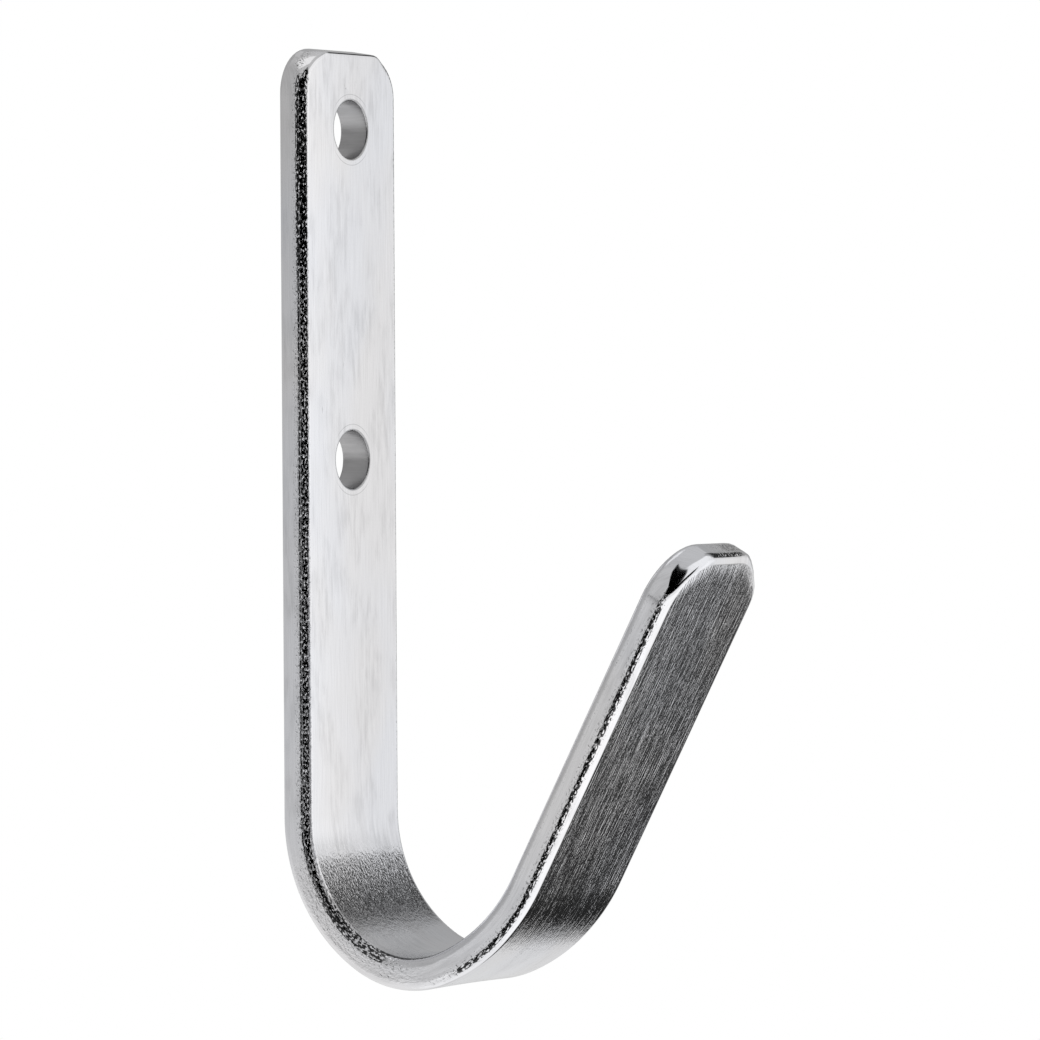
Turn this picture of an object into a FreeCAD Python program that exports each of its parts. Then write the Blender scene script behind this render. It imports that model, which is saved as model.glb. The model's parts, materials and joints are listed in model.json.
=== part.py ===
# Garage utility hook: one flat bar of zinc-plated steel with two screw holes, bent to an open J.
#
# The bar is a plain strip, 20 x 4 mm, with long arrises that rolling and tumbling have softened. Its end
# corners are rounded, and two holes are punched through the half that lies on the wall. Then it is bent:
# down the wall, round the bottom and up again into an arm that leans away from the wall.
#
# Frame: X across the bar, +Y into the wall, +Z up. The wall plane is Y = 0, and the origin is the point
# on it that lies midway between the two screw holes. All sizes are in millimetres, all angles in degrees.

import FreeCAD, Part

import math
import os

Vec = FreeCAD.Vector

# The bar
bar_width = 20.0
bar_thickness = 4.0
arris_radius = 1.1
top_corner_radius = 5.5
tip_corner_radius = 7.0

# The screw holes, on the centreline of the bar
hole_diameter = 7.0
hole_spacing = 40.0
hole_front_mouth_radius = 0.2
hole_back_mouth_radius = 0.15

# The upright, which lies on the wall
hole_to_top_end = 9.6
hole_to_bend = 43.0

# The top end was sheared off after the bar was rolled. The cut isn't square: it is higher at the wall than
# in front, and its front edge is much crisper than the bar's own arrises.
top_cut_angle = 9.0
top_front_edge_radius = 0.25

# The bend. A flat bar pressed round a former closes up tightest in the middle, so there are three arcs,
# each given by the radius of its inner side. The middle arc turns what the other two leave.
upper_bend_radius = 17.0
upper_bend_angle = 60.0
middle_bend_radius = 11.0
arm_bend_radius = 21.0
arm_bend_angle = 40.0

# The arm
arm_lean_angle = 28.5
arm_straight_length = 45.0

# Heights that follow from the sizes above
upper_hole_height = hole_spacing / 2
lower_hole_height = -hole_spacing / 2
top_end_height = upper_hole_height + hole_to_top_end
bend_start_height = lower_hole_height - hole_to_bend

# A bar that goes down and turns right round until it stands upright again has turned by half a circle.
half_circle = 180.0
middle_bend_angle = half_circle - arm_lean_angle - upper_bend_angle - arm_bend_angle
bends = (
    (upper_bend_radius, upper_bend_angle),
    (middle_bend_radius, middle_bend_angle),
    (arm_bend_radius, arm_bend_angle),
)

# The bar is made too long at the top by this much, and the cut takes it off again. The cut works on a
# stretch of the same length below the end.
cutting_allowance = 2 * top_corner_radius
foot_height = top_end_height - cutting_allowance

# Two faces that meet at more than this angle make a sharp edge, and less is a smooth seam.
sharp_angle = 30.0


def outward(turn):
    """The direction, in the YZ plane, from the hook's inner side to its outer side, after the bar has
    turned by so many degrees: +Y on the upright, straight down halfway round."""
    angle = math.radians(turn)
    return Vec(0, math.cos(angle), -math.sin(angle))


def along(turn):
    """The direction in which the bar runs after that turn: down on the upright."""
    angle = math.radians(turn)
    return Vec(0, -math.sin(angle), -math.cos(angle))


def bar_line(depth):
    """The edges of the J in the YZ plane, from the uncut top to the tip, on the skin that lies so deep
    behind the inner one: 0 is the inner skin, and bar_thickness is the outer skin."""
    inner_y = -bar_thickness
    point = Vec(0, inner_y, top_end_height + cutting_allowance) + outward(0) * depth
    bend_start = Vec(0, inner_y, bend_start_height) + outward(0) * depth
    edges = [Part.LineSegment(point, bend_start).toShape()]
    point = bend_start
    turned = 0.0
    for inner_radius, turn in bends:
        radius = inner_radius + depth
        centre = point - outward(turned) * radius
        middle = centre + outward(turned + turn / 2) * radius
        end = centre + outward(turned + turn) * radius
        edges.append(Part.Arc(point, middle, end).toShape())
        point = end
        turned += turn
    tip = point + along(turned) * arm_straight_length
    edges.append(Part.LineSegment(point, tip).toShape())
    return edges


def bent_bar():
    """The square-edged bar: the J between its two skins, carried across the width."""
    inner = bar_line(0)
    outer = bar_line(bar_thickness)
    top_end = Part.LineSegment(inner[0].Vertexes[0].Point, outer[0].Vertexes[0].Point).toShape()
    tip_end = Part.LineSegment(inner[-1].Vertexes[-1].Point, outer[-1].Vertexes[-1].Point).toShape()
    outline = Part.Wire(Part.__sortEdges__(inner + [tip_end] + outer + [top_end]))
    bar = Part.Face(outline).extrude(Vec(bar_width, 0, 0))
    bar.translate(Vec(-bar_width / 2, 0, 0))
    return bar


def edges_along(solid, direction):
    """The straight edges that lie along a direction."""
    found = []
    for edge in solid.Edges:
        run = edge.Vertexes[-1].Point - edge.Vertexes[0].Point
        if run.cross(direction).Length < 0.001 * run.Length:
            found.append(edge)
    return found


def sharp_edges(solid):
    """The edges at which two faces still meet at a sharp angle."""
    found = []
    for edge in solid.Edges:
        faces = solid.ancestorsOfType(edge, Part.Face)
        if len(faces) != 2:
            continue
        middle = edge.valueAt((edge.FirstParameter + edge.LastParameter) / 2)
        normals = [face.normalAt(*face.Surface.parameter(middle)) for face in faces]
        if math.degrees(normals[0].getAngle(normals[1])) > sharp_angle:
            found.append(edge)
    return found


def softened_bar():
    """The bent bar with the tip's corners rounded and its sharp edges softened, all but those of the
    uncut top."""
    bar = bent_bar()
    bar = bar.makeFillet(tip_corner_radius, edges_along(bar, outward(half_circle - arm_lean_angle)))
    kept_edges = [edge for edge in sharp_edges(bar) if edge.BoundBox.ZMin < top_end_height]
    return bar.makeFillet(arris_radius, kept_edges)


def face_border(plate, face_y):
    """The sharp edges of the cut end's plate that lie in the plane Y = face_y, without the one at its
    foot."""
    found = []
    for edge in sharp_edges(plate):
        box = edge.BoundBox
        if abs(box.Center.y - face_y) < 0.001 and box.ZMax > foot_height + top_corner_radius / 2:
            found.append(edge)
    return found


def cut_end():
    """What the cut leaves of the bar's top: a plate as wide and as thick as the bar, with a slanting end,
    round corners, a crisp front edge and a softer back one."""
    rise = math.tan(math.radians(top_cut_angle)) * bar_thickness
    left = -bar_width / 2
    front_foot = Vec(left, -bar_thickness, foot_height)
    front_top = Vec(left, -bar_thickness, top_end_height - rise / 2)
    back_top = Vec(left, 0, top_end_height + rise / 2)
    back_foot = Vec(left, 0, foot_height)
    side = Part.makePolygon([front_foot, front_top, back_top, back_foot, front_foot])
    plate = Part.Face(side).extrude(Vec(bar_width, 0, 0))
    plate = plate.makeFillet(top_corner_radius, edges_along(plate, back_top - front_top))
    plate = plate.makeFillet(top_front_edge_radius, face_border(plate, -bar_thickness))
    return plate.makeFillet(arris_radius, face_border(plate, 0))


def cut_to_length(bar):
    """The bar without whatever lies outside the cut end's plate, from that plate's foot upward. The seams
    that the cut leaves across the flat faces are taken out again."""
    margin = cutting_allowance
    corner = Vec(-bar_width / 2 - margin, -bar_thickness - margin, foot_height)
    around = Part.makeBox(bar_width + 2 * margin, bar_thickness + 2 * margin, 3 * margin, corner)
    return bar.cut(around.cut(cut_end())).removeSplitter()


def screw_hole(height):
    """A round bar along Y, to punch one hole through the upright."""
    reach = bar_thickness
    start = Vec(0, -bar_thickness - reach, height)
    return Part.makeCylinder(hole_diameter / 2, bar_thickness + 2 * reach, start, Vec(0, 1, 0))


def mouths(bar, face_y):
    """The round edges of the holes that lie in the plane Y = face_y."""
    return [edge for edge in sharp_edges(bar) if edge.Closed and abs(edge.CenterOfMass.y - face_y) < 0.01]


def make_hook():
    bar = cut_to_length(softened_bar())
    for height in (upper_hole_height, lower_hole_height):
        bar = bar.cut(screw_hole(height))
    bar = bar.makeFillet(hole_front_mouth_radius, mouths(bar, -bar_thickness))
    return bar.makeFillet(hole_back_mouth_radius, mouths(bar, 0))


os.makedirs("parts", exist_ok=True)
hook = make_hook()
hook.exportStep("parts/hook.step")

box = hook.optimalBoundingBox(False)
print("hook: valid", hook.isValid(), "solids", len(hook.Solids), "faces", len(hook.Faces))
print("size", round(box.XLength, 2), round(box.YLength, 2), round(box.ZLength, 2))
print("lowest", round(box.ZMin, 2), "highest", round(box.ZMax, 2), "furthest out", round(box.YMin, 2))
print("volume", round(hook.Volume, 1))
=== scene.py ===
# %% [markdown]
# # A utility hook of bent, zinc-plated bar
#
# The object is one flat bar of rolled steel. It was cropped to length, its four end corners were rounded,
# two screw holes were punched, the edges were softened by tumbling, and then it was pressed round a former
# into an open J and plated with bright zinc.
#
# The solid model that this script starts from has the right size and shape already. What it lacks is what
# the eye meets first on such a thing: rolling marks that run along the bar, edges that glitter because
# tumbling left them pitted, and a surface that is never quite flat. So the script makes the bar's skin
# again, the way the maker did: first flat, as a blank, and then bent.

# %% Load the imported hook
import json
import math

import bmesh
import bpy
import numpy as np
from mathutils import Matrix, Vector
from mathutils.bvhtree import BVHTree


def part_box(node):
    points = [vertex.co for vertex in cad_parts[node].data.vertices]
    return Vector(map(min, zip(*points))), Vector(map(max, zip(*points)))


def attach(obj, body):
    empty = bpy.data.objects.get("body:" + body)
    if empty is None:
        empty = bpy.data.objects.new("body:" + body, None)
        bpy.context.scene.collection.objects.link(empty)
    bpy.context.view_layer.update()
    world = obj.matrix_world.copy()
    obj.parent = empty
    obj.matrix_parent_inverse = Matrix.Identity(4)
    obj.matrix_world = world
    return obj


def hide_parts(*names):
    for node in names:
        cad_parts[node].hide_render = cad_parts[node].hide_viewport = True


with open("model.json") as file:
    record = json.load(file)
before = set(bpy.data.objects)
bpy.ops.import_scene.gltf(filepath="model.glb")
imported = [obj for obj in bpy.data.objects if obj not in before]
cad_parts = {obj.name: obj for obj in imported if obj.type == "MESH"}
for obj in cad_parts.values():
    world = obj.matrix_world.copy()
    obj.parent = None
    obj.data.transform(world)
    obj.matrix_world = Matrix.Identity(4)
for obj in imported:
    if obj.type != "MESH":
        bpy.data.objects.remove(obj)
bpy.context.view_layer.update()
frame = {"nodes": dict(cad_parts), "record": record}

# %% [markdown]
# ## The sizes
#
# Whatever the frame can tell is read from it: the width of the bar, the height of its top end, and where
# the screw holes are and how wide. The thickness, the radii and the angles of the bend can't be read off a
# box, so they are written here. Lengths are in millimetres until the mesh is made, because that is how a
# bar like this is drawn, and Blender works in metres.

# %% Sizes of the bar, in millimetres
MM = 0.001

low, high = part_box("hook")
half_width = (high.x - low.x) / MM / 2
bores = [mount for mount in frame["record"]["mounts"] if mount["kind"] == "bore"]
hole_heights = [mount["pos_m"][2] / MM for mount in bores]
hole_radius = bores[0]["dims"]["r_mm"]

thickness = 4.0
arris_radius = 1.1
top_corner_radius = 5.5
tip_corner_radius = 7.0
front_mouth_radius = 0.2
back_mouth_radius = 0.15
hole_to_top_end = 9.6
hole_to_bend = 43.0
top_cut_angle = 9.0
top_front_edge_radius = 0.25
arm_length = 45.0
arm_lean = 28.5
upper_bend = {"radius": 17.0, "turn": 60.0}
arm_bend = {"radius": 21.0, "turn": 40.0}
middle_bend = {"radius": 11.0, "turn": 180.0 - arm_lean - upper_bend["turn"] - arm_bend["turn"]}

top_height = max(hole_heights) + hole_to_top_end
upright_length = top_height - min(hole_heights) + hole_to_bend
print("half width", round(half_width, 3), "top", round(top_height, 3), "holes at", hole_heights)

# %% [markdown]
# ## The line of the bend
#
# A flat bar that is pressed round a former doesn't take one radius. It closes up tightest in the middle,
# so the line is a straight, three arcs that meet without a kink, and another straight.
#
# A curve object with a bevel could be swept along that line, but it would round the section off at the
# ends and give no say over where the rows of faces fall. A function is simpler: it takes a distance along
# the inner skin and gives back the place and the way the bar has turned.

# %% The stretches between the ends
stretches = [(upright_length, 0.0)]
for bend in (upper_bend, middle_bend, arm_bend):
    turn = math.radians(bend["turn"])
    stretches.append((bend["radius"] * turn, turn))
stretches.append((arm_length, 0.0))
bar_length = sum(length for length, turn in stretches)
print("the bar is", round(bar_length, 2), "mm long on its inner skin")


# %% From a distance along the bar to a place on it
def outward(turn):
    """Unit vectors (y, z) from the inner skin to the outer one: cosine and minus sine of the turn."""
    return np.stack([np.cos(turn), -np.sin(turn)], -1)


def along(turn):
    """Unit vectors (y, z) that run down the bar: minus sine and minus cosine of the turn."""
    return np.stack([-np.sin(turn), -np.cos(turn)], -1)


def bar_line(distance):
    """Place (y, z) and turn of the inner skin at each distance from the top end. A straight adds its
    length times its direction; an arc adds its radius times the change of the outward direction."""
    place = np.zeros(np.shape(distance) + (2,)) + (-thickness, top_height)
    turned = np.zeros(np.shape(distance))
    start, turn_before = 0.0, 0.0
    for length, turn in stretches:
        done = np.clip(distance - start, 0.0, length)
        if turn == 0.0:
            place = place + done[..., None] * along(np.float64(turn_before))
        else:
            radius = length / turn
            now = turn_before + done / radius
            place = place + radius * (outward(now) - outward(np.float64(turn_before)))
            turned = turned + done / radius
        start += length
        turn_before += turn
    return place, turned


tip_place, tip_turn = bar_line(np.array([bar_length]))
print("tip at", tip_place.round(2), "after", np.degrees(tip_turn).round(1), "degrees")

# %% [markdown]
# ## The flat blank
#
# The blank is drawn in plan, with a distance from the top end and a distance from the centreline. Its
# front is a grid of rows and columns. In the straight part a row is as wide as the bar. At the ends the
# rows follow the rounded corners, so that the outer columns of the grid are the outline itself and no
# corner has to be cut out afterwards.

# %% Rows and columns of the grid
GRID = 0.4
edge_strip = 0.06
flat_inset = arris_radius + edge_strip
hole_distances = [top_height - height for height in hole_heights]
corner_rows = 12
half_columns = round((half_width - flat_inset) / GRID)


def straight_rows():
    """Distances of the rows between the two pairs of rounded corners. Each screw hole's centre, the start
    of the bend and its end fall on a row, and between them the rows are spread evenly."""
    stations = [top_corner_radius, *hole_distances, upright_length]
    stations += [bar_length - arm_length, bar_length - tip_corner_radius]
    rows = [np.array(stations[:1])]
    for before, after in zip(stations, stations[1:]):
        count = round((after - before) / GRID)
        rows.append(np.linspace(before, after, count + 1)[1:])
    return np.concatenate(rows)


def corner_arc(corner_radius):
    """Distance from the end, half width and outward normal (across, towards the end) of the rows in a
    rounded corner: an arc of the corner's radius less the inset, from the end edge to the side."""
    angle = np.linspace(0.0, np.pi / 2, corner_rows + 1)[:-1]
    radius = corner_radius - flat_inset
    distance = corner_radius - radius * np.cos(angle)
    return distance, half_width - corner_radius + radius * np.sin(angle), np.sin(angle), np.cos(angle)


def grid_rows():
    """Distance, half width and outward normal (across, along) of every row's end."""
    middle = straight_rows()
    top, top_half, top_across, top_out = corner_arc(top_corner_radius)
    tip, tip_half, tip_across, tip_out = (part[::-1] for part in corner_arc(tip_corner_radius))
    distance = np.concatenate([top, middle, bar_length - tip])
    half = np.concatenate([top_half, np.full(len(middle), half_width - flat_inset), tip_half])
    across = np.concatenate([top_across, np.ones(len(middle)), tip_across])
    down = np.concatenate([-top_out, np.zeros(len(middle)), tip_out])
    return distance, half, across, down


row_distance, row_half, row_across, row_down = grid_rows()
column_share = np.linspace(-1.0, 1.0, 2 * half_columns + 1)
print(len(row_distance), "rows of", len(column_share), "points")

# %% [markdown]
# ## Making room for the screw holes
#
# A boolean cut would leave long thin faces round each hole, which show as smudges on bright metal. Here
# the grid itself steps aside. Square rings of points round a hole's centre are blended into circles, fully
# at the ring that becomes the hole's mouth and not at all a few millimetres out. The faces inside that
# ring are left out.

# %% Square rings into circles
ring_steps = 8
blend_steps = 16


def ring_of(row, column, hole_row):
    """Steps away from a hole's centre, counted in square rings."""
    return np.maximum(np.abs(row - hole_row), np.abs(column - half_columns))


def open_hole(across, down, hole_row, mouth):
    """The grid with one hole in it. A point's share of the circle falls off evenly from the mouth's ring
    to the last one that moves, and its circle is as much wider than the mouth as its ring is further out."""
    row, column = np.indices(across.shape)
    ring = ring_of(row, column, hole_row)
    reach = np.hypot(row - hole_row, column - half_columns)
    reach[reach == 0] = 1.0
    circle = mouth * ring / ring_steps
    centre = down[hole_row, half_columns]
    share = np.clip((blend_steps - ring) / (blend_steps - ring_steps), 0.0, 1.0)
    round_across = (column - half_columns) / reach * circle
    round_down = centre + (row - hole_row) / reach * circle
    return across + share * (round_across - across), down + share * (round_down - down)


def hole_rows():
    """The rows on which the two screw holes are centred."""
    return [int(np.argmin(np.abs(row_distance - distance))) for distance in hole_distances]


def face_grid(mouth):
    """Across and down positions of one face of the blank, with both holes opened to the mouth's radius."""
    across = row_half[:, None] * column_share[None, :]
    down = np.repeat(row_distance[:, None], len(column_share), 1)
    for hole_row in hole_rows():
        across, down = open_hole(across, down, hole_row, mouth)
    return across, down


# %% [markdown]
# ## Patches
#
# The skin is made of five kinds of patch: the front, the back, the rim that runs right round the blank,
# and the wall of each hole. Every patch is a grid of points with the same few columns of data: where it
# is in plan, how deep it is in the bar, where it lies when the skin is unrolled flat, and how much of an
# edge it is. The unrolled place is what the rolling marks follow later on.

# %% A patch is a grid of points
patches = []


def add_patch(name, across, down, depth, unrolled, edge, keep=None, closed=False):
    """Keeps a grid of points with its quads. A closed grid's last column joins its first, and keep, if
    given, says which quads stay."""
    rows, columns = across.shape
    number = np.arange(rows * columns).reshape(rows, columns)
    if closed:
        number = np.concatenate([number, number[:, :1]], 1)
    quads = np.stack([number[:-1, :-1], number[1:, :-1], number[1:, 1:], number[:-1, 1:]], -1)
    if keep is not None:
        quads = quads[keep]
    data = [np.broadcast_to(value, across.shape).ravel() for value in (across, down, depth, *unrolled, edge)]
    patches.append({"name": name, "points": np.stack(data, -1), "quads": quads.reshape(-1, 4)})
    print(name, rows, "x", columns, "points,", len(patches[-1]["quads"]), "quads")


# %% Front and back
sheet_gap = 30.0
front_mouth = hole_radius + front_mouth_radius + edge_strip
back_mouth = hole_radius + back_mouth_radius + edge_strip


def outside_holes():
    """True for the quads that aren't inside a hole's mouth: one of their corners lies outside its ring."""
    row, column = np.indices((len(row_distance), len(column_share)))
    keep = np.ones((len(row_distance) - 1, len(column_share) - 1), bool)
    for hole_row in hole_rows():
        ring = ring_of(row, column, hole_row)
        widest = np.maximum.reduce([ring[:-1, :-1], ring[1:, :-1], ring[1:, 1:], ring[:-1, 1:]])
        keep &= widest > ring_steps
    return keep


front_across, front_down = face_grid(front_mouth)
back_across, back_down = face_grid(back_mouth)
add_patch("front", front_across, front_down, 0.0, (front_across, front_down), 0.0, outside_holes())
back_unrolled = (back_across + sheet_gap, back_down)
add_patch("back", back_across, back_down, thickness, back_unrolled, 0.0, outside_holes())

# %% [markdown]
# ## The rim
#
# Seen across, the rim is a quarter round, a short flat and another quarter round. That profile is carried
# along the outline of the front grid. A narrow strip of face beside each quarter round keeps the flat
# faces flat when the shading is smoothed.
#
# The rim isn't the same all the way round. The shear left the front edge of the top end crisp, a long facet
# was struck off behind the near top corner, and the corners of the tip were knocked back. Each of these is
# a share from 0 to 1 at every place on the outline, so plain arithmetic lays them over one another.

# %% How round the rim is at each place
arc_steps = 10
wall_steps = 7
knocked_depth = 1.0
facet_depth = 2.2
facet_inset = 0.2
near_corner_softens = (54.0, 68.0)
far_corner_softens = (8.0, 35.0)
facet_starts, facet_ends = (6.0, 20.0), (50.0, 66.0)
knock_starts, knock_ends = (22.0, 40.0), (52.0, 68.0)


def smooth_step(value, low, high):
    """0 below low, 1 above high, and between them three times the square of the share of the way less
    twice its cube."""
    share = np.clip((value - low) / (high - low), 0.0, 1.0)
    return share**2 * (3.0 - 2.0 * share)


def rise_and_fall(value, rise, fall):
    """0, then 1, then 0 again: a smooth step over the range of the rise, times one less a smooth step over
    the range of the fall."""
    return smooth_step(value, *rise) * (1.0 - smooth_step(value, *fall))


def rim_shape(corner_angle, at_top, near):
    """Inset and depth of the front arris, depth of the back one, and the shares of softness and facet. The
    front arris goes from the crisp radius to the full one as a top corner turns. The facet is deeper and
    further in than the arris that it takes away."""
    corner_softness = np.where(
        near, smooth_step(corner_angle, *near_corner_softens), smooth_step(corner_angle, *far_corner_softens))
    softness = np.where(at_top, corner_softness, 1.0)
    crisp = top_front_edge_radius + (arris_radius - top_front_edge_radius) * softness
    facet = np.where(at_top & near, rise_and_fall(corner_angle, facet_starts, facet_ends), 0.0)
    round_facet = np.where(at_top & near, arris_radius * smooth_step(corner_angle, *facet_starts), 0.0)
    front_deep = np.maximum(crisp, round_facet)
    front_deep = front_deep + (facet_depth - front_deep) * facet
    back_deep = arris_radius + knocked_depth * np.where(
        at_top, 0.0, rise_and_fall(corner_angle, knock_starts, knock_ends))
    return crisp + facet_inset * facet, front_deep, back_deep, softness, facet


# %% [markdown]
# Tumbling pitted the rim as well, one stretch after another. The pits are too small to be modelled, so the
# skin carries a mask that tells the finish where they are: 0 for clean metal, 1 for pits side by side, and
# more than 1 where dark dashes run together to a line. The dashes also paint in the dark reflection of the
# rounded edges, and the line along the bend's edge is a painted dark reflection.

# %% How pitted the rim is at each place
top_pits_thin_out = (18.0, 32.0)
pits_crowd = (upright_length + 8.0, upright_length + 14.0)
pits_fade = (upright_length + 19.0, upright_length + 26.0)
pits_turn_over = (upright_length + 24.0, upright_length + 31.0)
# Where the line of painted dark reflection along the bend's front arris starts and ends.
bend_reflection_starts = (upright_length + 17.0, upright_length + 20.0)
bend_reflection_ends = (upright_length + 38.0, upright_length + 46.0)
crowding = {"top": 0.16, "bend": 0.18}
pits_left_on_arm = 0.1
back_pits_at_angle = (70.0, 88.0)
tip_end_stops_at_angle = (2.0, 20.0)
far_corner_share = 0.45
tip_end_from_across = (-4.0, 1.0)
tip_end_pits = 0.6


def rim_pits(across, down, corner_angle, at_top, near, either):
    """How pitted the front arris, the back one and the tip's end face are, and where the bend's line of
    painted dark reflection is. The front arris is pitted where either softness or facet is, most at the top
    and where the bend starts, and down to the middle of the bend. From there to the tip it is the back arris.
    On the end face the pits go further round the far corner than round the near one."""
    crowded = 1.0 + crowding["bend"] * smooth_step(down, *pits_crowd)
    crowded = crowded + crowding["top"] * (1.0 - smooth_step(down, *top_pits_thin_out))
    front_pits = either * crowded * (1.0 - (1.0 - pits_left_on_arm) * smooth_step(down, *pits_fade))
    turned_in = corner_angle * np.where(near, 1.0, far_corner_share)
    on_end = np.where(at_top, 0.0, 1.0 - smooth_step(turned_in, *tip_end_stops_at_angle))
    end_pits = on_end * smooth_step(across, *tip_end_from_across)
    turned_over = smooth_step(down, *pits_turn_over) * smooth_step(corner_angle, *back_pits_at_angle)
    back_pits = np.maximum(turned_over, tip_end_pits * end_pits)
    return front_pits, back_pits, end_pits, rise_and_fall(down, bend_reflection_starts, bend_reflection_ends)


def rim_sizes(across, down, normal_down):
    """Everything that changes along the outline, by name, as columns: the shape, the pits and the line of
    painted dark reflection on the bend. A corner's angle runs from 0 at the end to 90 degrees at the side."""
    corner_angle = np.degrees(np.arccos(np.abs(normal_down)))
    at_top, near = down < bar_length / 2, across < 0.0
    inset, front_deep, back_deep, softness, facet = rim_shape(corner_angle, at_top, near)
    either = np.maximum(softness, facet)
    pits = rim_pits(across, down, corner_angle, at_top, near, either)
    names = ("inset", "front_deep", "back_deep", "facet", "front_pits", "back_pits", "end_pits", "line")
    return {name: part[:, None] for name, part in zip(names, (inset, front_deep, back_deep, facet, *pits))}


# %% The profile of the rim
pits_from, back_pits_from, facet_pits_from = (0.05, 0.30), (0.65, 1.0), (0.9, 1.1)
# The next line places the line of painted dark reflection across the front arris, by angle and reach; the
# mask's line value is its strength, over 1 so that it turns solid dark.
reflection_line_angle, reflection_line_reach = 0.31, 0.2
mask = {"arris": 0.86, "facet": 0.7, "line": 1.5, "wall below back": 0.5, "end": 0.88}
wall_share, wall_mask = (0.0, 0.17, 0.4, 1.0), (0.84, 0.5, 0.0, 0.0)


def rim_mask(rim, angle):
    """The pits' mask along the profile, one column for each step. A facet has them only in its deeper
    half, and the back arris only where it leaves the side. On the wall between the arrises they thin out
    with the distance from the pitted one."""
    facet = rim["facet"]
    on_arris = mask["arris"] * smooth_step(angle, *pits_from) * (1.0 - facet)
    front = rim["front_pits"] * (on_arris + mask["facet"] * smooth_step(angle, *facet_pits_from) * facet)
    # A line of painted dark reflection along the bend's front arris.
    front = np.maximum(front, mask["line"] * rim["line"] * (np.abs(angle - reflection_line_angle) < reflection_line_reach))
    back = rim["back_pits"] * smooth_step(angle[::-1], *back_pits_from)
    beside = np.interp(np.linspace(0.0, 1.0, wall_steps), wall_share, wall_mask)
    wall = np.maximum(
        rim["front_pits"] * beside * (1.0 - facet), mask["wall below back"] * rim["back_pits"] * beside[::-1])
    wall = np.maximum(wall, mask["end"] * rim["end_pits"])
    strip = 0.0 * facet
    return np.concatenate([strip, strip, front, wall, back, strip], 1)


def rim_profile(rim):
    """Inset from the outline, depth below the front and pits' mask, one row for each place and one column
    for each step from the front face to the back one. A quarter round has inset radius times one minus
    sine, and depth radius times one minus cosine."""
    angle = np.linspace(0.0, np.pi / 2, arc_steps + 1)
    front, front_deep, back_deep = rim["inset"], rim["front_deep"], rim["back_deep"]
    border = np.full(front.shape, flat_inset)
    wall_low, wall_high = front_deep + edge_strip, thickness - back_deep - edge_strip
    wall = wall_low + (wall_high - wall_low) * np.linspace(0.0, 1.0, wall_steps)
    back_inset = arris_radius * (1.0 - np.sin(angle[::-1])) + 0.0 * front
    insets = [border, (border + front) / 2, front * (1.0 - np.sin(angle)), 0.0 * wall, back_inset, border]
    front_depth = front_deep * (1.0 - np.cos(angle))
    back_depth = thickness - back_deep * (1.0 - np.cos(angle[::-1]))
    depths = [0.0 * border, 0.0 * border, front_depth, wall, back_depth, 0.0 * border + thickness]
    return np.concatenate(insets, 1), np.concatenate(depths, 1), rim_mask(rim, angle)


def run_length(first, second):
    """Length along each row of a profile at each of its points, from the first one."""
    steps = np.hypot(np.diff(first, axis=-1), np.diff(second, axis=-1))
    return np.concatenate([0.0 * steps[..., :1], np.cumsum(steps, -1)], -1)


def outline():
    """The border of the grid, once round: place and outward normal. It goes along the top end, down one
    side, along the tip and up the other side."""
    last = len(row_distance) - 1
    top_end, tip_end = row_half[0] * column_share, row_half[last] * column_share[::-1]
    side = slice(1, last)
    across = np.concatenate([top_end, row_half[side], tip_end, -row_half[side][::-1]])
    down = np.concatenate([0 * top_end + row_distance[0], row_distance[side],
                           0 * tip_end + row_distance[last], row_distance[side][::-1]])
    normal_across = np.concatenate([0 * top_end, row_across[side], 0 * tip_end, -row_across[side][::-1]])
    normal_down = np.concatenate([0 * top_end - 1, row_down[side], 0 * tip_end + 1, row_down[side][::-1]])
    return across, down, normal_across, normal_down


def add_rim():
    """The profile carried round the outline: each point is the outline's, moved out along its normal by
    how much less its inset is than the grid's."""
    across, down, normal_across, normal_down = outline()
    inset, depth, edge = rim_profile(rim_sizes(across, down, normal_down))
    across, down, normal_across, normal_down = (
        part[:, None] for part in (across, down, normal_across, normal_down))
    out = flat_inset - inset
    unroll = run_length(inset, depth)
    unrolled = (across + unroll * normal_across, down + unroll * normal_down)
    add_patch("rim", (across + out * normal_across).T, (down + out * normal_down).T, depth.T,
              tuple(part.T for part in unrolled), edge.T, closed=True)


add_rim()

# %% The walls of the holes
mouth_mask = 0.25


def hole_profile():
    """Radius and depth from the front face, over the rolled front mouth, down the bore and out over the
    back mouth. Each mouth is a quarter round of its own radius."""
    angle = np.linspace(0.0, np.pi / 2, arc_steps + 1)
    front = hole_radius + front_mouth_radius * (1.0 - np.sin(angle))
    front_depth = front_mouth_radius * (1.0 - np.cos(angle))
    back = hole_radius + back_mouth_radius * (1.0 - np.sin(angle))
    back_depth = thickness - back_mouth_radius * (1.0 - np.cos(angle))
    bore = np.linspace(front_mouth_radius, thickness - back_mouth_radius, 9)[1:-1]
    radius = [front_mouth, *front, *np.full(len(bore), hole_radius), *back[::-1], back_mouth]
    depth = [0.0, *front_depth, *bore, *back_depth[::-1], thickness]
    mouth = np.full(len(angle), mouth_mask)
    edge = [0.0, *mouth, *np.zeros(len(bore)), *mouth, 0.0]
    return np.array(radius), np.array(depth), np.array(edge)


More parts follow.
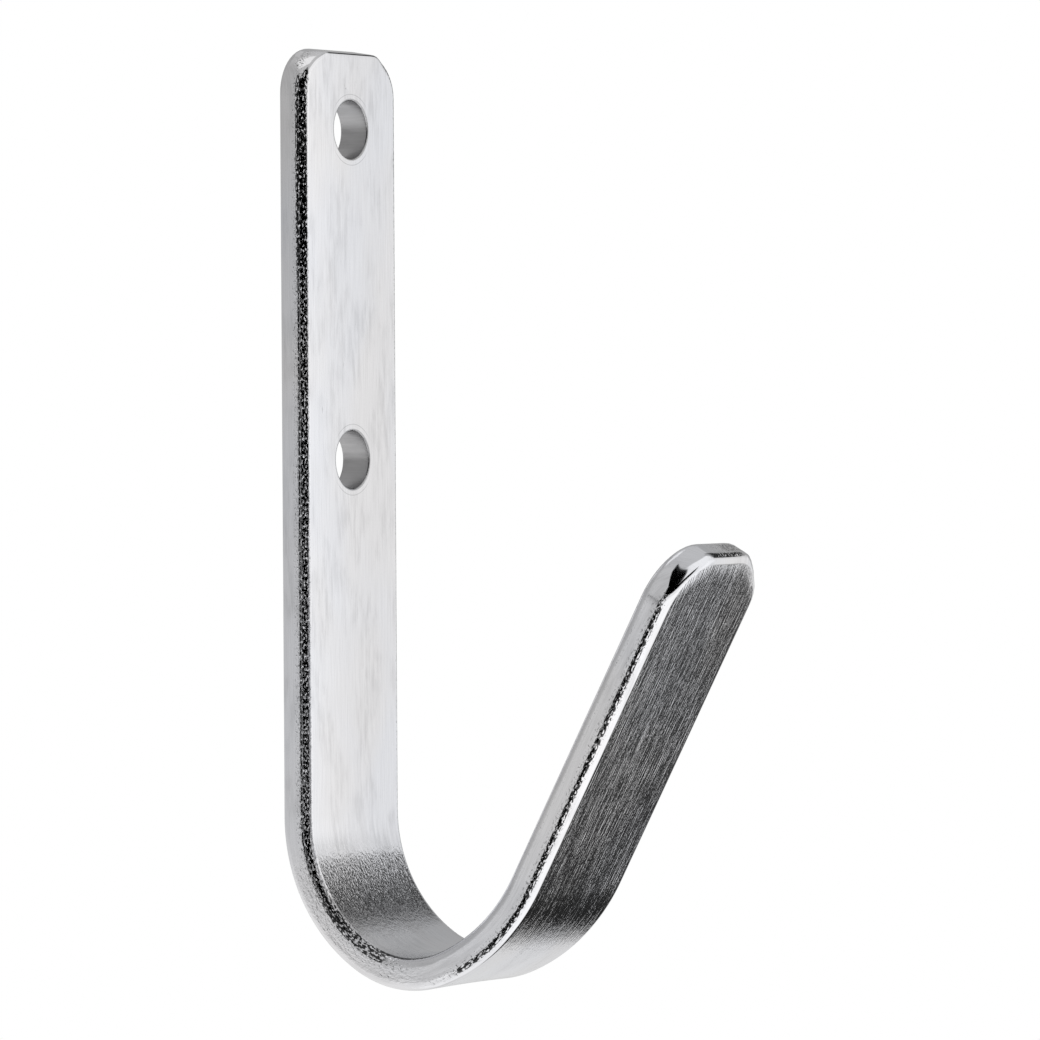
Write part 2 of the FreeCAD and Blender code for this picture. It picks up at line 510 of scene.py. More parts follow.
def add_hole_wall(number, hole_row):
    """The profile carried round a hole, through the same directions as the square ring's points have."""
    row, column = np.indices((len(row_distance), len(column_share)))
    on_ring = ring_of(row, column, hole_row) == ring_steps
    angle = np.sort(np.arctan2((row - hole_row)[on_ring], (column - half_columns)[on_ring]))
    radius, depth, edge = hole_profile()
    across = radius[:, None] * np.cos(angle)
    down = row_distance[hole_row] + radius[:, None] * np.sin(angle)
    sheet = 2 * sheet_gap + hole_radius * angle, hole_distances[number] + run_length(radius, depth)[:, None]
    add_patch(f"hole wall {number}", across, down, depth[:, None], sheet, edge[:, None], closed=True)


for number, hole_row in enumerate(hole_rows()):
    add_hole_wall(number, hole_row)

# %% [markdown]
# ## Never quite flat
#
# Rolled bar is straight and flat to the hand but not to the eye: on bright metal a hollow of a hundredth
# of a millimetre bends a reflection. A few long waves, added to the depth before bending, do that.
#
# Two larger forms come from how the hook was made. The shear dragged the outer side over at the tip, so it
# falls away there. And a wide bar that is bent turns a little hollow across on its outer side, like a
# saddle. Both are functions of the place in plan too, and like the waves they only ever take metal away,
# so the skin stays inside the solid's size.

# %% Hollows that only take metal away
hollow_depth = 0.012
waist_depth = 0.03
crown_depth = 0.03
skin_margin = 0.012
roll_over_slope = 0.24
roll_over_reach = (2.8, 4.6)
saddle_depth = 0.15
saddle_starts = (upright_length + 6.0, upright_length + 20.0)
saddle_ends = (bar_length - arm_length - 4.0, bar_length - arm_length + 10.0)


def waves(across, down, seed):
    """A smooth field from 0 to 1: the sum of six sine waves with lengths from 7 to 60 mm, scaled by its
    greatest possible value."""
    draw = np.random.default_rng(seed)
    total, most = 0.0, 0.0
    for length in np.geomspace(7.0, 60.0, 6):
        heading, phase = draw.uniform(0.0, np.pi), draw.uniform(0.0, 2 * np.pi)
        size = length ** 0.5
        way = (across * np.cos(heading) * 0.6 + down * np.sin(heading)) * 2 * np.pi / length
        total = total + size * np.sin(way + phase)
        most += size
    return 0.5 + 0.5 * total / most


def roll_over(across, down):
    """How far the outer face falls away towards the sheared tip and round its corners: half the end slope
    times the reach times the square of the share of the reach. The place's distance from the outline is
    the corner radius less its distance from the corner's centre, or from the line between the centres."""
    aside = np.clip(np.abs(across) - (half_width - tip_corner_radius), 0.0, None)
    past_centre = down - (bar_length - tip_corner_radius)
    from_outline = tip_corner_radius - np.hypot(aside, np.clip(past_centre, 0.0, None))
    least, most = roll_over_reach
    reach = least + (most - least) * smooth_step(across, 0.0, half_width)
    at_tip = smooth_step(past_centre, 0.0, 0.6 * tip_corner_radius)
    share = np.clip(1.0 - from_outline / reach, 0.0, 1.0) * at_tip
    return roll_over_slope / 2 * reach * share**2


def saddle(across, down):
    """How far the outer side sinks in the bend, where a wide bar turns hollow across: the depth times one
    less the square of the share of the half width."""
    return saddle_depth * rise_and_fall(down, saddle_starts, saddle_ends) * (1.0 - (across / half_width) ** 2)


def uneven(points):
    """Across and depth of each point after the waves: the front sinks by its own field, the back rises by
    another, and the bar's width shrinks a little here and there. Both faces also have a slight crown,
    which falls off with the square of the distance from the centreline. The roll-over and the saddle count
    in full on the outer side and fade with the square of the depth towards the inner one."""
    across, down, depth = points[:, 0], points[:, 1], points[:, 2]
    deep = depth / thickness
    crown = skin_margin + crown_depth * (across / half_width) ** 2
    front_sinks = crown + hollow_depth * waves(across, down, 3)
    back_rises = crown + hollow_depth * waves(across, down, 4)
    depth = depth + front_sinks * (1 - deep) - back_rises * deep
    depth = depth - (roll_over(across, down) + saddle(across, down)) * deep**2
    across = across * (1 - waist_depth / half_width * waves(0 * down, down, 5))
    return across, depth


# %% The slant of the sheared end
slant_reach = 5.8
slant_margin = 0.035


def slant_rise(down, depth):
    """How much higher a point of the top end lies because of the cut's slant: the depth behind the middle
    of the bar times the tangent of the cut's angle. It fades out before the upper hole."""
    fade = np.clip(1.0 - down / slant_reach, 0.0, 1.0)
    rise = (depth - thickness / 2) * math.tan(math.radians(top_cut_angle)) - slant_margin
    return rise * fade

# %% [markdown]
# ## Bending the blank and closing the skin
#
# The blank is bent by putting each point at its distance along the bar line and stepping outward by its
# depth. The patches share their border points exactly, so merging doubles closes the skin. The points that
# lie inside the holes belong to no face and are deleted, and then the faces are turned outward in one go.

# %% The bent skin as a mesh
def bent(points):
    """Places (x, y, z) in metres: the inner skin at that distance, plus the outward direction times the
    depth, with the across distance as x."""
    across, depth = uneven(points)
    place, turned = bar_line(points[:, 1])
    side = place + depth[:, None] * outward(turned)
    side[:, 1] += slant_rise(points[:, 1], points[:, 2])
    return np.concatenate([across[:, None], side], 1) * MM


def make_skin():
    """One mesh from all the patches, with its unrolled plan as a UV map and the edge mask as an
    attribute. The plan is divided by the sheet's size, so that it stays between 0 and 1."""
    points = np.concatenate([patch["points"] for patch in patches])
    starts = np.cumsum([0] + [len(patch["points"]) for patch in patches[:-1]])
    quads = np.concatenate([patch["quads"] + start for patch, start in zip(patches, starts)])
    mesh = bpy.data.meshes.new("hook_skin")
    mesh.from_pydata(bent(points).tolist(), [], quads.tolist())
    corner = np.zeros(len(mesh.loops), np.int32)
    mesh.loops.foreach_get("vertex_index", corner)
    plan = (points[corner, 3:5] + plan_margin) / plan_size
    mesh.uv_layers.new(name="bar_plan").uv.foreach_set("vector", plan.ravel())
    mesh.attributes.new("edge", "FLOAT", "POINT").data.foreach_set("value", points[:, 5])
    return mesh


plan_size = 220.0
plan_margin = 20.0
skin = make_skin()

# %% Merge, turn outward, smooth
weld = 0.001 * MM

shell = bmesh.new()
shell.from_mesh(skin)
bmesh.ops.remove_doubles(shell, verts=shell.verts, dist=weld)
inside_holes = [vertex for vertex in shell.verts if not vertex.link_faces]
bmesh.ops.delete(shell, geom=inside_holes, context="VERTS")
bmesh.ops.recalc_face_normals(shell, faces=shell.faces)
open_edges = sum(1 for edge in shell.edges if len(edge.link_faces) != 2)
print("points left over inside the holes", len(inside_holes))
print("open edges", open_edges, "volume", round(shell.calc_volume() / MM**3, 1), "cubic mm")
shell.to_mesh(skin)
shell.free()
skin.shade_smooth()

hook = bpy.data.objects.new("hook_bar", skin)
bpy.context.scene.collection.objects.link(hook)
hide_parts("hook")
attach(hook, "root")
print(hook.name, len(skin.polygons), "quads")


# %% How far the skin lies from the solid
sample_step = 23


def furthest_from(solid, mesh):
    """The greatest distance from a sample of the mesh's points to the solid's surface."""
    vertices = [vertex.co for vertex in solid.data.vertices]
    tree = BVHTree.FromPolygons(vertices, [tuple(face.vertices) for face in solid.data.polygons])
    sample = list(mesh.vertices)[::sample_step]
    return max(tree.find_nearest(vertex.co)[3] for vertex in sample)


print("furthest from the solid", round(furthest_from(frame["nodes"]["hook"], skin) / MM, 3), "mm")

# %% [markdown]
# ## Bright zinc plate
# Some of the colour is painted light: painted shade in the bores and in a ring round each hole, a painted
# dark reflection mixed into the pits of the edges, and a line of painted dark reflection along the bend.
#
# Electroplated zinc is a bright, slightly cool metal. It follows the steel under it, so what shows is how
# the steel was made: rolling drew faint lines along the bar, tumbling pitted its edges, and bending left
# the inner skin of the bend grained like fine orange peel. All of that is relief, so the finish is one
# pale metal with low roughness and several fields of bump. The patterns read the unrolled plan, where the
# bar is still a flat strip, and so they follow the bend.
#
# The colours are written as they would be picked off a screen, and one function makes them linear.

# %% Colours and nodes
def linear(hex_colour, alpha=1.0):
    """A screen colour such as #C0C0C4 as linear red, green, blue and alpha: each channel over 12.92 if it is
    dark, and otherwise (channel + 0.055) / 1.055 to the power of 2.4."""
    code = hex_colour.lstrip("#")
    parts = [int(code[i:i + 2], 16) / 255 for i in (0, 2, 4)]
    return (*[p / 12.92 if p <= 0.04045 else ((p + 0.055) / 1.055) ** 2.4 for p in parts], alpha)


def add_node(tree, kind, inputs=None, **settings):
    """Adds one node. Settings are its own properties. Inputs go by name or number, and each is a value or
    a socket to link from."""
    node = tree.nodes.new(kind)
    for name, value in settings.items():
        setattr(node, name, value)
    for name, value in (inputs or {}).items():
        if isinstance(value, bpy.types.NodeSocket):
            tree.links.new(value, node.inputs[name])
        else:
            node.inputs[name].default_value = value
    return node


def new_material(name):
    """An empty node material and its output node."""
    material = bpy.data.materials.new(name)
    material.use_nodes = True
    material.node_tree.nodes.clear()
    return material, add_node(material.node_tree, "ShaderNodeOutputMaterial")


# %% Scales worked out from millimetres
def per_plan(size_mm):
    """A pattern's scale on the unrolled plan for features about so many millimetres across."""
    return plan_size / size_mm


def on_plan(across, down):
    """A place on the unrolled plan, given in millimetres."""
    return ((across + plan_margin) / plan_size, (down + plan_margin) / plan_size, 0.0)


# The real rolling lines, scratches, grain and pits are a few hundredths of a millimetre wide, which is less
# than a pixel where the whole hook is in view. They are drawn two to five times as wide, so that they show.
line_width, line_length = 0.20, 7.0
scratch_width, scratch_length = 0.20, 7.0
dash_width, dash_length = 0.24, 0.55
pit_width, pit_length = 0.20, 0.42
grain_width, grain_length = 0.32, 0.512
streak_width, streak_length = 0.80, 5.0
patch_width, patch_length = 5.0, 10.0
cloud_width, cloud_length = 14.0, 28.0
ring_radius = hole_radius + 0.80
ring_width = 0.16
nicks = (
    {"place": (-1.30, 4.15), "half_axes": (0.10, 0.42)},
    {"place": (-1.00, 4.60), "half_axes": (0.38, 0.10)},
    {"place": (-0.35, 3.75), "half_axes": (0.10, 0.30)},
    {"place": (-6.30, 43.5), "half_axes": (0.16, 0.55)},
    {"place": (-1.80, 38.1), "half_axes": (0.13, 0.50)},
)


# %% Small helpers for fields of numbers
def field(tree, operation, first, second=0.0, clamp=False):
    """One step of arithmetic on two numbers or sockets."""
    step = add_node(tree, "ShaderNodeMath", {0: first, 1: second}, operation=operation, use_clamp=clamp)
    return step.outputs[0]


def mix_numbers(tree, share, none, full):
    """One number where a share is 0, another where it is 1, and in proportion between."""
    return add_node(tree, "ShaderNodeMapRange", {"Value": share, "To Min": none, "To Max": full}).outputs[0]


def ramp(tree, value, low, high):
    """0 where a field is below low, 1 where it is above high, and a smooth step between."""
    return add_node(tree, "ShaderNodeMapRange", {"Value": value, "From Min": low, "From Max": high},
                    interpolation_type="SMOOTHSTEP").outputs[0]


def noise(tree, plan, width_mm, length_mm, detail, roughness=0.5, shift=0.0):
    """Noise on the plan whose features are so wide across the bar and so long down it."""
    stretched = add_node(tree, "ShaderNodeMapping", {
        "Vector": plan, "Location": (shift, shift, 0.0),
        "Scale": (1.0, width_mm / length_mm, 1.0)}).outputs[0]
    return add_node(tree, "ShaderNodeTexNoise", {
        "Vector": stretched, "Scale": per_plan(width_mm),
        "Detail": detail, "Roughness": roughness}).outputs[0]


def nearness(tree, plan, place, size_mm):
    """1 at a place on the plan, falling to 0 at the border of an ellipse of the given half axes."""
    across, down = size_mm
    centre = on_plan(*place)
    away = add_node(tree, "ShaderNodeVectorMath", {0: plan, 1: centre}, operation="SUBTRACT").outputs[0]
    scale = (plan_size / across, plan_size / down, 0.0)
    scaled = add_node(tree, "ShaderNodeVectorMath", {0: away, 1: scale}, operation="MULTIPLY").outputs[0]
    reach = add_node(tree, "ShaderNodeVectorMath", {0: scaled}, operation="LENGTH").outputs[1]
    return field(tree, "SUBTRACT", 1.0, reach, clamp=True)


# %% The marks: nicks, and rings of painted shade round the holes
ring_shade_shows_at = (0.5, 0.15)


def marks(tree, plan):
    """Depth of the nicks, and the two rings of painted shade, each from 0 to 1."""
    nicked = 0.0
    for nick in nicks:
        nicked = field(tree, "ADD", nicked, nearness(tree, plan, nick["place"], nick["half_axes"]))
    rings = 0.0
    # Each ring is painted shade: a thin dark line where a shallow dish round the hole's mouth would meet the
    # face, shown only above and below the hole.
    for down in hole_distances:
        inside = nearness(tree, plan, (0.0, down), (2 * ring_radius, 2 * ring_radius))
        off = field(tree, "ABSOLUTE", field(tree, "SUBTRACT", inside, 0.5))
        width = ring_width / (4 * ring_radius)
        ring = field(tree, "SUBTRACT", 1.0, field(tree, "DIVIDE", off, width), clamp=True)
        beside = nearness(tree, plan, (0.0, down), (20.0 * ring_radius, ring_radius))
        shade_shows = ramp(tree, beside, *ring_shade_shows_at)
        rings = field(tree, "ADD", rings, field(tree, "MULTIPLY", ring, shade_shows))
    return nicked, rings


# %% Which part of the plan a point is in
after_rim = (15.0, 16.0)
after_back = (44.0, 45.0)
arm_starts = (upright_length + 22.0, upright_length + 36.0)
bend_grain_slant = 0.5
bend_grain_starts = (upright_length + 2.0, upright_length + 8.0)
bend_grain_ends = (upright_length + 22.0, upright_length + 16.5)


def regions(tree, plan):
    """Shares for three parts of the bar: the bores, which lie furthest across on the plan, the outer side
    of the arm, and the inner side of the bend, where the metal was crowded together."""
    across, down = add_node(tree, "ShaderNodeSeparateXYZ", {0: plan}).outputs[:2]
    beyond_rim = ramp(tree, across, *(on_plan(place, 0.0)[0] for place in after_rim))
    bore = ramp(tree, across, *(on_plan(place, 0.0)[0] for place in after_back))
    arm = ramp(tree, down, *(on_plan(0.0, place)[1] for place in arm_starts))
    outer_side = field(tree, "MULTIPLY", field(tree, "SUBTRACT", beyond_rim, bore), arm)
    slanted = field(tree, "ADD", down, field(tree, "MULTIPLY", across, bend_grain_slant))
    middle = bend_grain_slant * on_plan(0, 0)[0]
    starts = ramp(tree, down, *(on_plan(0.0, place)[1] for place in bend_grain_starts))
    ends = ramp(tree, slanted, *(middle + on_plan(0.0, place)[1] for place in bend_grain_ends))
    return bore, outer_side, field(tree, "MULTIPLY", starts, ends)


# %% The relief: heights in millimetres
line_height = 0.010
scratch_height = 0.033
grain_height = 0.060
pit_height = 0.085
nick_depth = 0.02
lines_on_inner_side = 0.1
grain_on_outer_side = 0.45
pit_threshold = (0.57, 0.75)


def relief(tree, plan, edge, outer_side, bend_grain, lines, nicked):
    """The normal after the rolling lines, the scratches, the grain, the pits and the nicks, each laid over
    the one before."""
    scratches = noise(tree, plan, scratch_width, scratch_length, 1.0, 0.5, shift=17.0)
    grain = noise(tree, plan, grain_width, grain_length, 2.0, 0.6, shift=3.0)
    grained = field(tree, "MAXIMUM", field(tree, "MULTIPLY", outer_side, grain_on_outer_side), bend_grain)
    pits = ramp(tree, noise(tree, plan, pit_width, pit_length, 1.0, 0.5, shift=7.0), *pit_threshold)
    layers = (
        (lines, line_height, mix_numbers(tree, outer_side, lines_on_inner_side, 1.0)),
        (scratches, scratch_height, outer_side),
        (grain, grain_height, grained),
        (pits, pit_height, edge),
        (nicked, -nick_depth, 0.5),
    )
    normal = {}
    for height, reach, strength in layers:
        bump = add_node(tree, "ShaderNodeBump", {
            "Strength": strength, "Distance": reach * MM, "Height": height, **normal}).outputs[0]
        normal = {"Normal": bump}
    return bump


# %% The tint: how much of the light each mark takes
# The losses for the dashes, the rings and the bores are painted light: the dashes are pits with a painted
# dark reflection in them, the rings painted shade round each hole, and the bores painted shade.
loss = {"line": 0.07, "streak": 0.15, "ring": 0.30, "dash": 0.93, "nick": 0.30, "edge_dots": 0.80, "bore": 0.42}
dash_threshold = (0.455, 0.49)
dashed_edge, painted_reflection_line = (0.78, 0.95), (1.1, 1.6)
edge_dot_threshold = (0.60, 0.66)


def tint(tree, plan, edge, bore, lines, nicked, rings):
    """The plate's colour: two close tones in large clouds, made a little duller by the rolling lines, by
    short streaks in patches, by the nicks, by a ring of painted shade round each hole and by painted shade
    inside the bores. On the edges there are darker dots, and dark dashes where the mask is strong, which
    close up to a line where it is over 1. The dashes are pits with a painted dark reflection in them, and the
    line is a painted dark reflection."""
    clouds = noise(tree, plan, cloud_width, cloud_length, 2.0, 0.5, shift=1.0)
    clean = add_node(tree, "ShaderNodeMix", {
        0: ramp(tree, clouds, 0.35, 0.65), "A": linear("#ECEDF1"), "B": linear("#EEEDEE")},
        data_type="RGBA").outputs["Result"]
    streaks = ramp(tree, noise(tree, plan, streak_width, streak_length, 3.0, 0.6, shift=5.0), 0.36, 0.72)
    where = ramp(tree, noise(tree, plan, patch_width, patch_length, 2.0, 0.5, shift=9.0), 0.42, 0.58)
    dots = ramp(tree, noise(tree, plan, pit_width, pit_length, 1.0, 0.5, shift=15.0), *edge_dot_threshold)
    dashes = ramp(tree, noise(tree, plan, dash_width, dash_length, 1.0, 0.5, shift=21.0), *dash_threshold)
    broken = field(tree, "MAXIMUM", dashes, ramp(tree, edge, *painted_reflection_line))
    shares = {
        "streak": field(tree, "MULTIPLY", streaks, where),
        "ring": rings,
        # Pits and painted dark reflection: dark dashes on the edges, closing up to a line of painted dark
        # reflection along the bend.
        "dash": field(tree, "MULTIPLY", ramp(tree, edge, *dashed_edge), broken),
        "nick": nicked,
        # Darker dots on the edges.
        "edge_dots": field(tree, "MULTIPLY", edge, dots),
        # Painted shade: the inside of each bore is darker in colour.
        "bore": bore,
    }
    shade = mix_numbers(tree, ramp(tree, lines, 0.3, 0.7), 1.0 - loss["line"], 1.0)
    for mark, share in shares.items():
        shade = field(tree, "MULTIPLY", shade, mix_numbers(tree, share, 1.0, 1.0 - loss[mark]))
    return add_node(tree, "ShaderNodeVectorMath", {0: clean, "Scale": shade}, operation="SCALE").outputs[0]


# %% The zinc plate
roughness = {"plate": 0.10, "speck": 0.45, "bore": 0.32}
speck_threshold = (0.58, 0.64)


def zinc_plate():
    """Electroplated zinc on rolled and tumbled steel bar: pale, cool, mirror-like between its marks."""
    material, output = new_material("bright_zinc_plate_on_rolled_steel")
    tree = material.node_tree
    plan = add_node(tree, "ShaderNodeUVMap", uv_map="bar_plan").outputs["UV"]
    edge = add_node(tree, "ShaderNodeAttribute", attribute_name="edge").outputs["Fac"]
    bore, outer_side, bend_grain = regions(tree, plan)
    lines = noise(tree, plan, line_width, line_length, 2.0, 0.6)
    nicked, rings = marks(tree, plan)
    specks = noise(tree, plan, pit_width, pit_length, 1.0, 0.5, shift=11.0)
    speck = field(tree, "MULTIPLY", edge, ramp(tree, specks, *speck_threshold))
    specked = mix_numbers(tree, speck, roughness["plate"], roughness["speck"])
    metal = add_node(tree, "ShaderNodeBsdfPrincipled", {
        "Base Color": tint(tree, plan, edge, bore, lines, nicked, rings),
        "Metallic": 1.0,
        "Roughness": field(tree, "MAXIMUM", specked, field(tree, "MULTIPLY", bore, roughness["bore"])),
        "Normal": relief(tree, plan, edge, outer_side, bend_grain, lines, nicked),
    })
    tree.links.new(metal.outputs[0], output.inputs["Surface"])
    return material


skin.materials.append(zinc_plate())

# %% [markdown]
# ## A studio for bright metal
#
# Bright metal shows its surroundings, so its studio is a dome painted in soft-edged tones. The dome hides
# from the camera, from shadows and from diffuse light, so nothing but the metal sees it.
#
# Which part of the dome a face mirrors follows from the face's slope. The upright's front mirrors a screen
# at eye level, the inner side of the bend a dark stripe above it, and the side faces the grey wall behind.
# The upright's edge mirrors a black flag round the camera, the arm's edge a bright field low in front, and
# the arm's outer side a black card low on the right. So each face has its own card, as in a studio.
#
# A card is a function of the direction, in degrees. Azimuth 0 is +X and 90 is +Y.

# %% Tones by direction
def between(value, low, high, soft):
    """1 inside a range of angles and 0 outside it, with edges that are so many degrees wide."""
    return np.clip((value - low) / soft + 0.5, 0, 1) * np.clip((high - value) / soft + 0.5, 0, 1)


def paint(under, tone, share):
    """A tone laid over another by its share."""
    return under + (tone - under) * share


# %% The ceiling and the wall behind
def ceiling(tone, azimuth, elevation):
    """Grey from about 42 degrees up, and nearly white again high over the back."""
    tone = paint(tone, 0.58, smooth_step(elevation, 38.0, 46.0))
    return paint(tone, 0.95, between(azimuth, 20.0, 140.0, 10.0) * smooth_step(elevation, 60.0, 66.0))


def wall_behind(tone, azimuth, elevation):
    """A grey wall from the right round to the back, which gets paler by an even step for each degree down,
    up to 0.88. It is a little darker low on the right and a little paler at its far end."""
    wall = np.maximum(0.54 - 0.0185 * elevation, 0.42 + 0.05 * smooth_step(azimuth, 70.0, 110.0))
    wall = np.minimum(wall, 0.88) + 0.019 * np.clip(azimuth - 145.0, 0.0, 6.0)
    low_right = between(elevation, -60.0, -10.0, 10.0) * (1.0 - smooth_step(azimuth, 30.0, 60.0))
    wall = wall * (1.0 - 0.13 * low_right)
    top = 42.0 + 20.0 * smooth_step(azimuth, 50.0, 70.0)
    far_end = 165.0 + 18.0 * smooth_step(elevation, 12.0, 22.0)
    return paint(tone, wall, between(azimuth, -3.0, far_end, 2.0) * between(elevation, -60.0, top, 6.0))


# %% The screen and the stripe
def eye_level_screen(tone, azimuth, elevation):
    """Bright, a step darker to the right of -35 degrees, and fading a little upwards."""
    screen = 1.12 - 0.32 * smooth_step(azimuth, -36.0, -34.4) + 0.10 * smooth_step(azimuth, -34.5, -33.9)
    screen = screen * (1.0 - 0.14 * smooth_step(elevation, 3.5, 12.0))
    return paint(tone, screen, between(azimuth, -47.0, -2.0, 2.0) * between(elevation, -19.0, 14.0, 2.0))


def dark_stripe(tone, azimuth, elevation):
    """Black along an arch that is highest at azimuth 1 and drops with the square of the distance from
    there, and grey beside it."""
    off_arch = np.abs(elevation - (34.5 - 0.019 * (azimuth - 1.0) ** 2))
    stripe = 0.02 + 0.44 * smooth_step(off_arch, 5.0, 19.0)
    share = np.clip((azimuth + 34.0) / 1.5, 0, 1) * (1.0 - smooth_step(azimuth, -8.0, 8.0))
    return paint(tone, stripe, share * between(elevation, 13.8, 50.0, 1.5))


# %% The low field, the low card and the flag
def low_field(tone, azimuth, elevation):
    """Over white, low in front and on the left."""
    return paint(tone, 1.18, between(azimuth, -172.0, -36.0, 8.0) * between(elevation, -72.0, -21.0, 6.0))


def low_card(tone, azimuth, elevation):
    """Nearly black, low on the right, with a soft left edge and a sharper right one."""
    share = np.clip((azimuth + 26.0) / 10.0 + 0.5, 0, 1) * np.clip((7.0 - azimuth) / 2.0 + 0.5, 0, 1)
    card = 0.02 + 0.05 * smooth_step(elevation, -29.0, -24.5)
    return paint(tone, card, share * between(elevation, -54.0, -17.5, 3.0))


def camera_flag(tone, azimuth, elevation):
    """Black round the camera, with a grey gap on the left and a skirt below it. Its top is low at both ends
    and in between falls off to the right by 0.8 of a degree for each degree."""
    around = azimuth % 360.0
    top = np.clip(75.0 - 0.8 * (around - 205.0), 15.0, 75.0) - 34.0 * smooth_step(around, 253.0, 268.0)
    top = np.minimum(np.maximum(top, 6.0), 8.0 + 67.0 * smooth_step(around, 165.0, 205.0))
    flag = 0.24 * between(around, 174.5, 185.5, 2.0)
    tone = paint(tone, flag, between(around, 154.0, 290.0, 2.0) * between(elevation, -8.5, top, 1.5))
    return paint(tone, 0.0, between(around, 156.0, 188.0, 2.0) * between(elevation, -36.0, -10.0, 2.0))


# %% The painted dome
dome_radius = 4.0
dome_centre = (0.0, -0.02, -0.03)
dome_step = 1.5


def painted(name):
    """A surface that gives off the tone that is stored at its points."""
    material, output = new_material(name)
    tone = add_node(material.node_tree, "ShaderNodeAttribute", attribute_name="tone").outputs["Fac"]
    shine = add_node(material.node_tree, "ShaderNodeEmission", {
        "Color": (1.0, 1.0, 1.0, 1.0), "Strength": tone})
    material.node_tree.links.new(shine.outputs[0], output.inputs["Surface"])
    return material


def stage_grid(name, places, material):
    """A stage surface from a grid of places."""
    rows, columns = places.shape[:2]
    number = np.arange(rows * columns).reshape(rows, columns)
    quads = np.stack([number[:-1, :-1], number[1:, :-1], number[1:, 1:], number[:-1, 1:]], -1)
    mesh = bpy.data.meshes.new(name)
    mesh.from_pydata(places.reshape(-1, 3).tolist(), [], quads.reshape(-1, 4).tolist())
    mesh.materials.append(material)
    surface = bpy.data.objects.new(name, mesh)
    bpy.context.scene.collection.objects.link(surface)
    return surface


def dome_tone(azimuth, elevation):
    """The tone in each direction, from 0 for black to 1 for white and a little over: white, with each card
    painted over the ones before it."""
    tone = np.ones_like(azimuth)
    for card in (ceiling, wall_behind, eye_level_screen, dark_stripe, low_field, low_card, camera_flag):
        tone = card(tone, azimuth, elevation)
    return tone


def make_dome():
    """A sphere as a grid of directions: radius times cosine of the elevation along the azimuth's
    direction, and radius times sine of the elevation up."""
    azimuth, elevation = np.meshgrid(
        np.arange(-180.0, 180.1, dome_step), np.arange(-90.0, 90.1, dome_step))
    level = np.cos(np.radians(elevation))
    along_x, along_y = np.cos(np.radians(azimuth)), np.sin(np.radians(azimuth))
    places = dome_radius * np.stack([level * along_x, level * along_y, np.sin(np.radians(elevation))], -1)
    dome = stage_grid("painted_dome", places + dome_centre, painted("painted_dome"))
    tone = dome_tone(azimuth, elevation).ravel()
    dome.data.attributes.new("tone", "FLOAT", "POINT").data.foreach_set("value", tone)
    dome.visible_camera = dome.visible_diffuse = dome.visible_shadow = False
    return dome


dome = make_dome()
print("dome", len(dome.data.polygons), "quads")

# %% [markdown]
# ## Floor, world and lights
#
# The floor lies well below the hook, which hangs from its screws. It is a pale matt surface that takes the
# hook's shadow, and further out it turns plain white, so that no horizon shows behind the hook.

# %% The floor
floor_drop = 0.30
floor_reach = 6.0
floor_shadow_share = 0.5
floor_white_from = 0.7


def pale_floor():
    """A matt white surface near the hook, mixed with plain white for the camera and all white further out."""
    material, output = new_material("pale_floor")
    tree = material.node_tree
    matt = add_node(tree, "ShaderNodeBsdfDiffuse", {"Color": linear("#F4F4F4")}).outputs[0]
    plain = add_node(tree, "ShaderNodeEmission", {"Color": (1.0, 1.0, 1.0, 1.0)}).outputs[0]
    place = add_node(tree, "ShaderNodeTexCoord").outputs["Object"]
    reach = add_node(tree, "ShaderNodeVectorMath", {0: place}, operation="LENGTH").outputs[1]
    far = ramp(tree, reach, floor_white_from / 2, floor_white_from)
    share = field(tree, "MAXIMUM", far, floor_shadow_share)
    seen = field(tree, "MULTIPLY", share, add_node(tree, "ShaderNodeLightPath").outputs["Is Camera Ray"])
    mix = add_node(tree, "ShaderNodeMixShader", {0: seen, 1: matt, 2: plain})
    tree.links.new(mix.outputs[0], output.inputs["Surface"])
    return material


floor = stage_grid("floor", np.array([
    [[-floor_reach, -floor_reach, 0.0], [floor_reach, -floor_reach, 0.0]],
    [[-floor_reach, floor_reach, 0.0], [floor_reach, floor_reach, 0.0]],
]), pale_floor())
floor.location.z = -floor_drop
floor.visible_glossy = False

# %% The world
room_light = 0.6

world = bpy.data.worlds.new("studio")
bpy.context.scene.world = world
world.use_nodes = True
world.node_tree.nodes.clear()


def white_world(tree):
    """White at strength 1 for the camera and in reflections, and softer as a light."""
    path = add_node(tree, "ShaderNodeLightPath").outputs
    mirrored = field(tree, "MAXIMUM", path["Is Glossy Ray"], path["Is Transmission Ray"])
    seen = field(tree, "MAXIMUM", path["Is Camera Ray"], mirrored)
    strength = add_node(tree, "ShaderNodeMapRange", {"Value": seen, "To Min": room_light, "To Max": 1.0})
    background = add_node(tree, "ShaderNodeBackground", {
        "Color": (1.0, 1.0, 1.0, 1.0), "Strength": strength.outputs[0]})
    output = add_node(tree, "ShaderNodeOutputWorld")
    tree.links.new(background.outputs[0], output.inputs["Surface"])


white_world(world.node_tree)


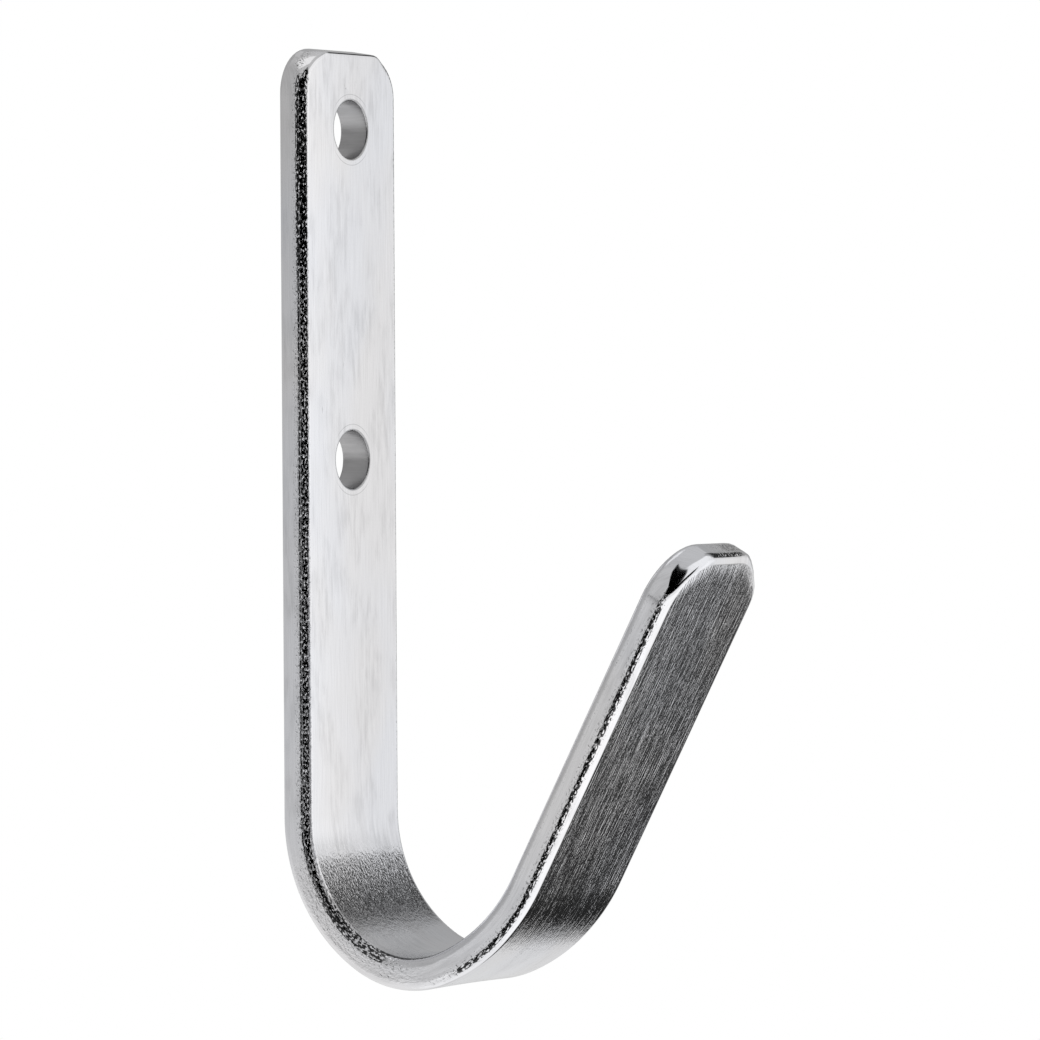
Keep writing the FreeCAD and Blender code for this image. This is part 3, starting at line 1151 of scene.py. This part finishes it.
# %% Soft lights
def softbox(name, place, target, size, tone):
    """A square area light that looks at a target. Its power in watts is pi times its area times the tone
    that it should show in a mirror."""
    data = bpy.data.lights.new(name, "AREA")
    data.shape = "SQUARE"
    data.size = size
    data.energy = math.pi * size**2 * tone
    light = bpy.data.objects.new(name, data)
    bpy.context.scene.collection.objects.link(light)
    light.location = place
    light.rotation_mode = "QUATERNION"
    light.rotation_quaternion = (Vector(target) - Vector(place)).to_track_quat("-Z", "Y")
    light.visible_glossy = False
    return light


hook_middle = (low + high) / 2
softbox("key_softbox", (0.9, -0.9, 0.9), hook_middle, 0.45, 1.0)
softbox("top_softbox", (-0.10, -0.25, 0.80), hook_middle, 0.35, 1.0)

# %% [markdown]
# ## The camera
#
# The view is from the left, almost level, through a long lens, so the sides of the bar stay nearly
# parallel. The numbers were fitted to the outline of the object as seen in its reference view.

# %% Camera
view_azimuth = -56.83
view_elevation = 1.104
view_roll = -0.3136
lens_length = 213.73
camera_place = np.array([-0.61599, -0.43078, -0.01299])


def view_axes(azimuth, elevation, roll):
    """Right, up and back as unit vectors. Back points from the object to the camera; right is level
    before the roll turns right and up about back."""
    azimuth, elevation, roll = np.radians([azimuth, elevation, roll])
    level = np.array([np.cos(azimuth), np.sin(azimuth), 0.0])
    to_camera = np.array([np.sin(azimuth), -np.cos(azimuth), 0.0])
    back = np.cos(elevation) * to_camera + np.array([0.0, 0.0, np.sin(elevation)])
    lift = np.cross(back, level)
    right = np.cos(roll) * level + np.sin(roll) * lift
    up = np.cos(roll) * lift - np.sin(roll) * level
    return right, up, back


camera_data = bpy.data.cameras.new("camera")
camera_data.lens = lens_length
camera_data.sensor_width = 36.0
camera = bpy.data.objects.new("camera", camera_data)
bpy.context.scene.collection.objects.link(camera)
axes = np.eye(4)
axes[:3, :3] = np.stack(view_axes(view_azimuth, view_elevation, view_roll), 1)
axes[:3, 3] = camera_place
camera.matrix_world = Matrix(axes.tolist())
bpy.context.scene.camera = camera
bpy.context.scene.view_settings.view_transform = "Standard"
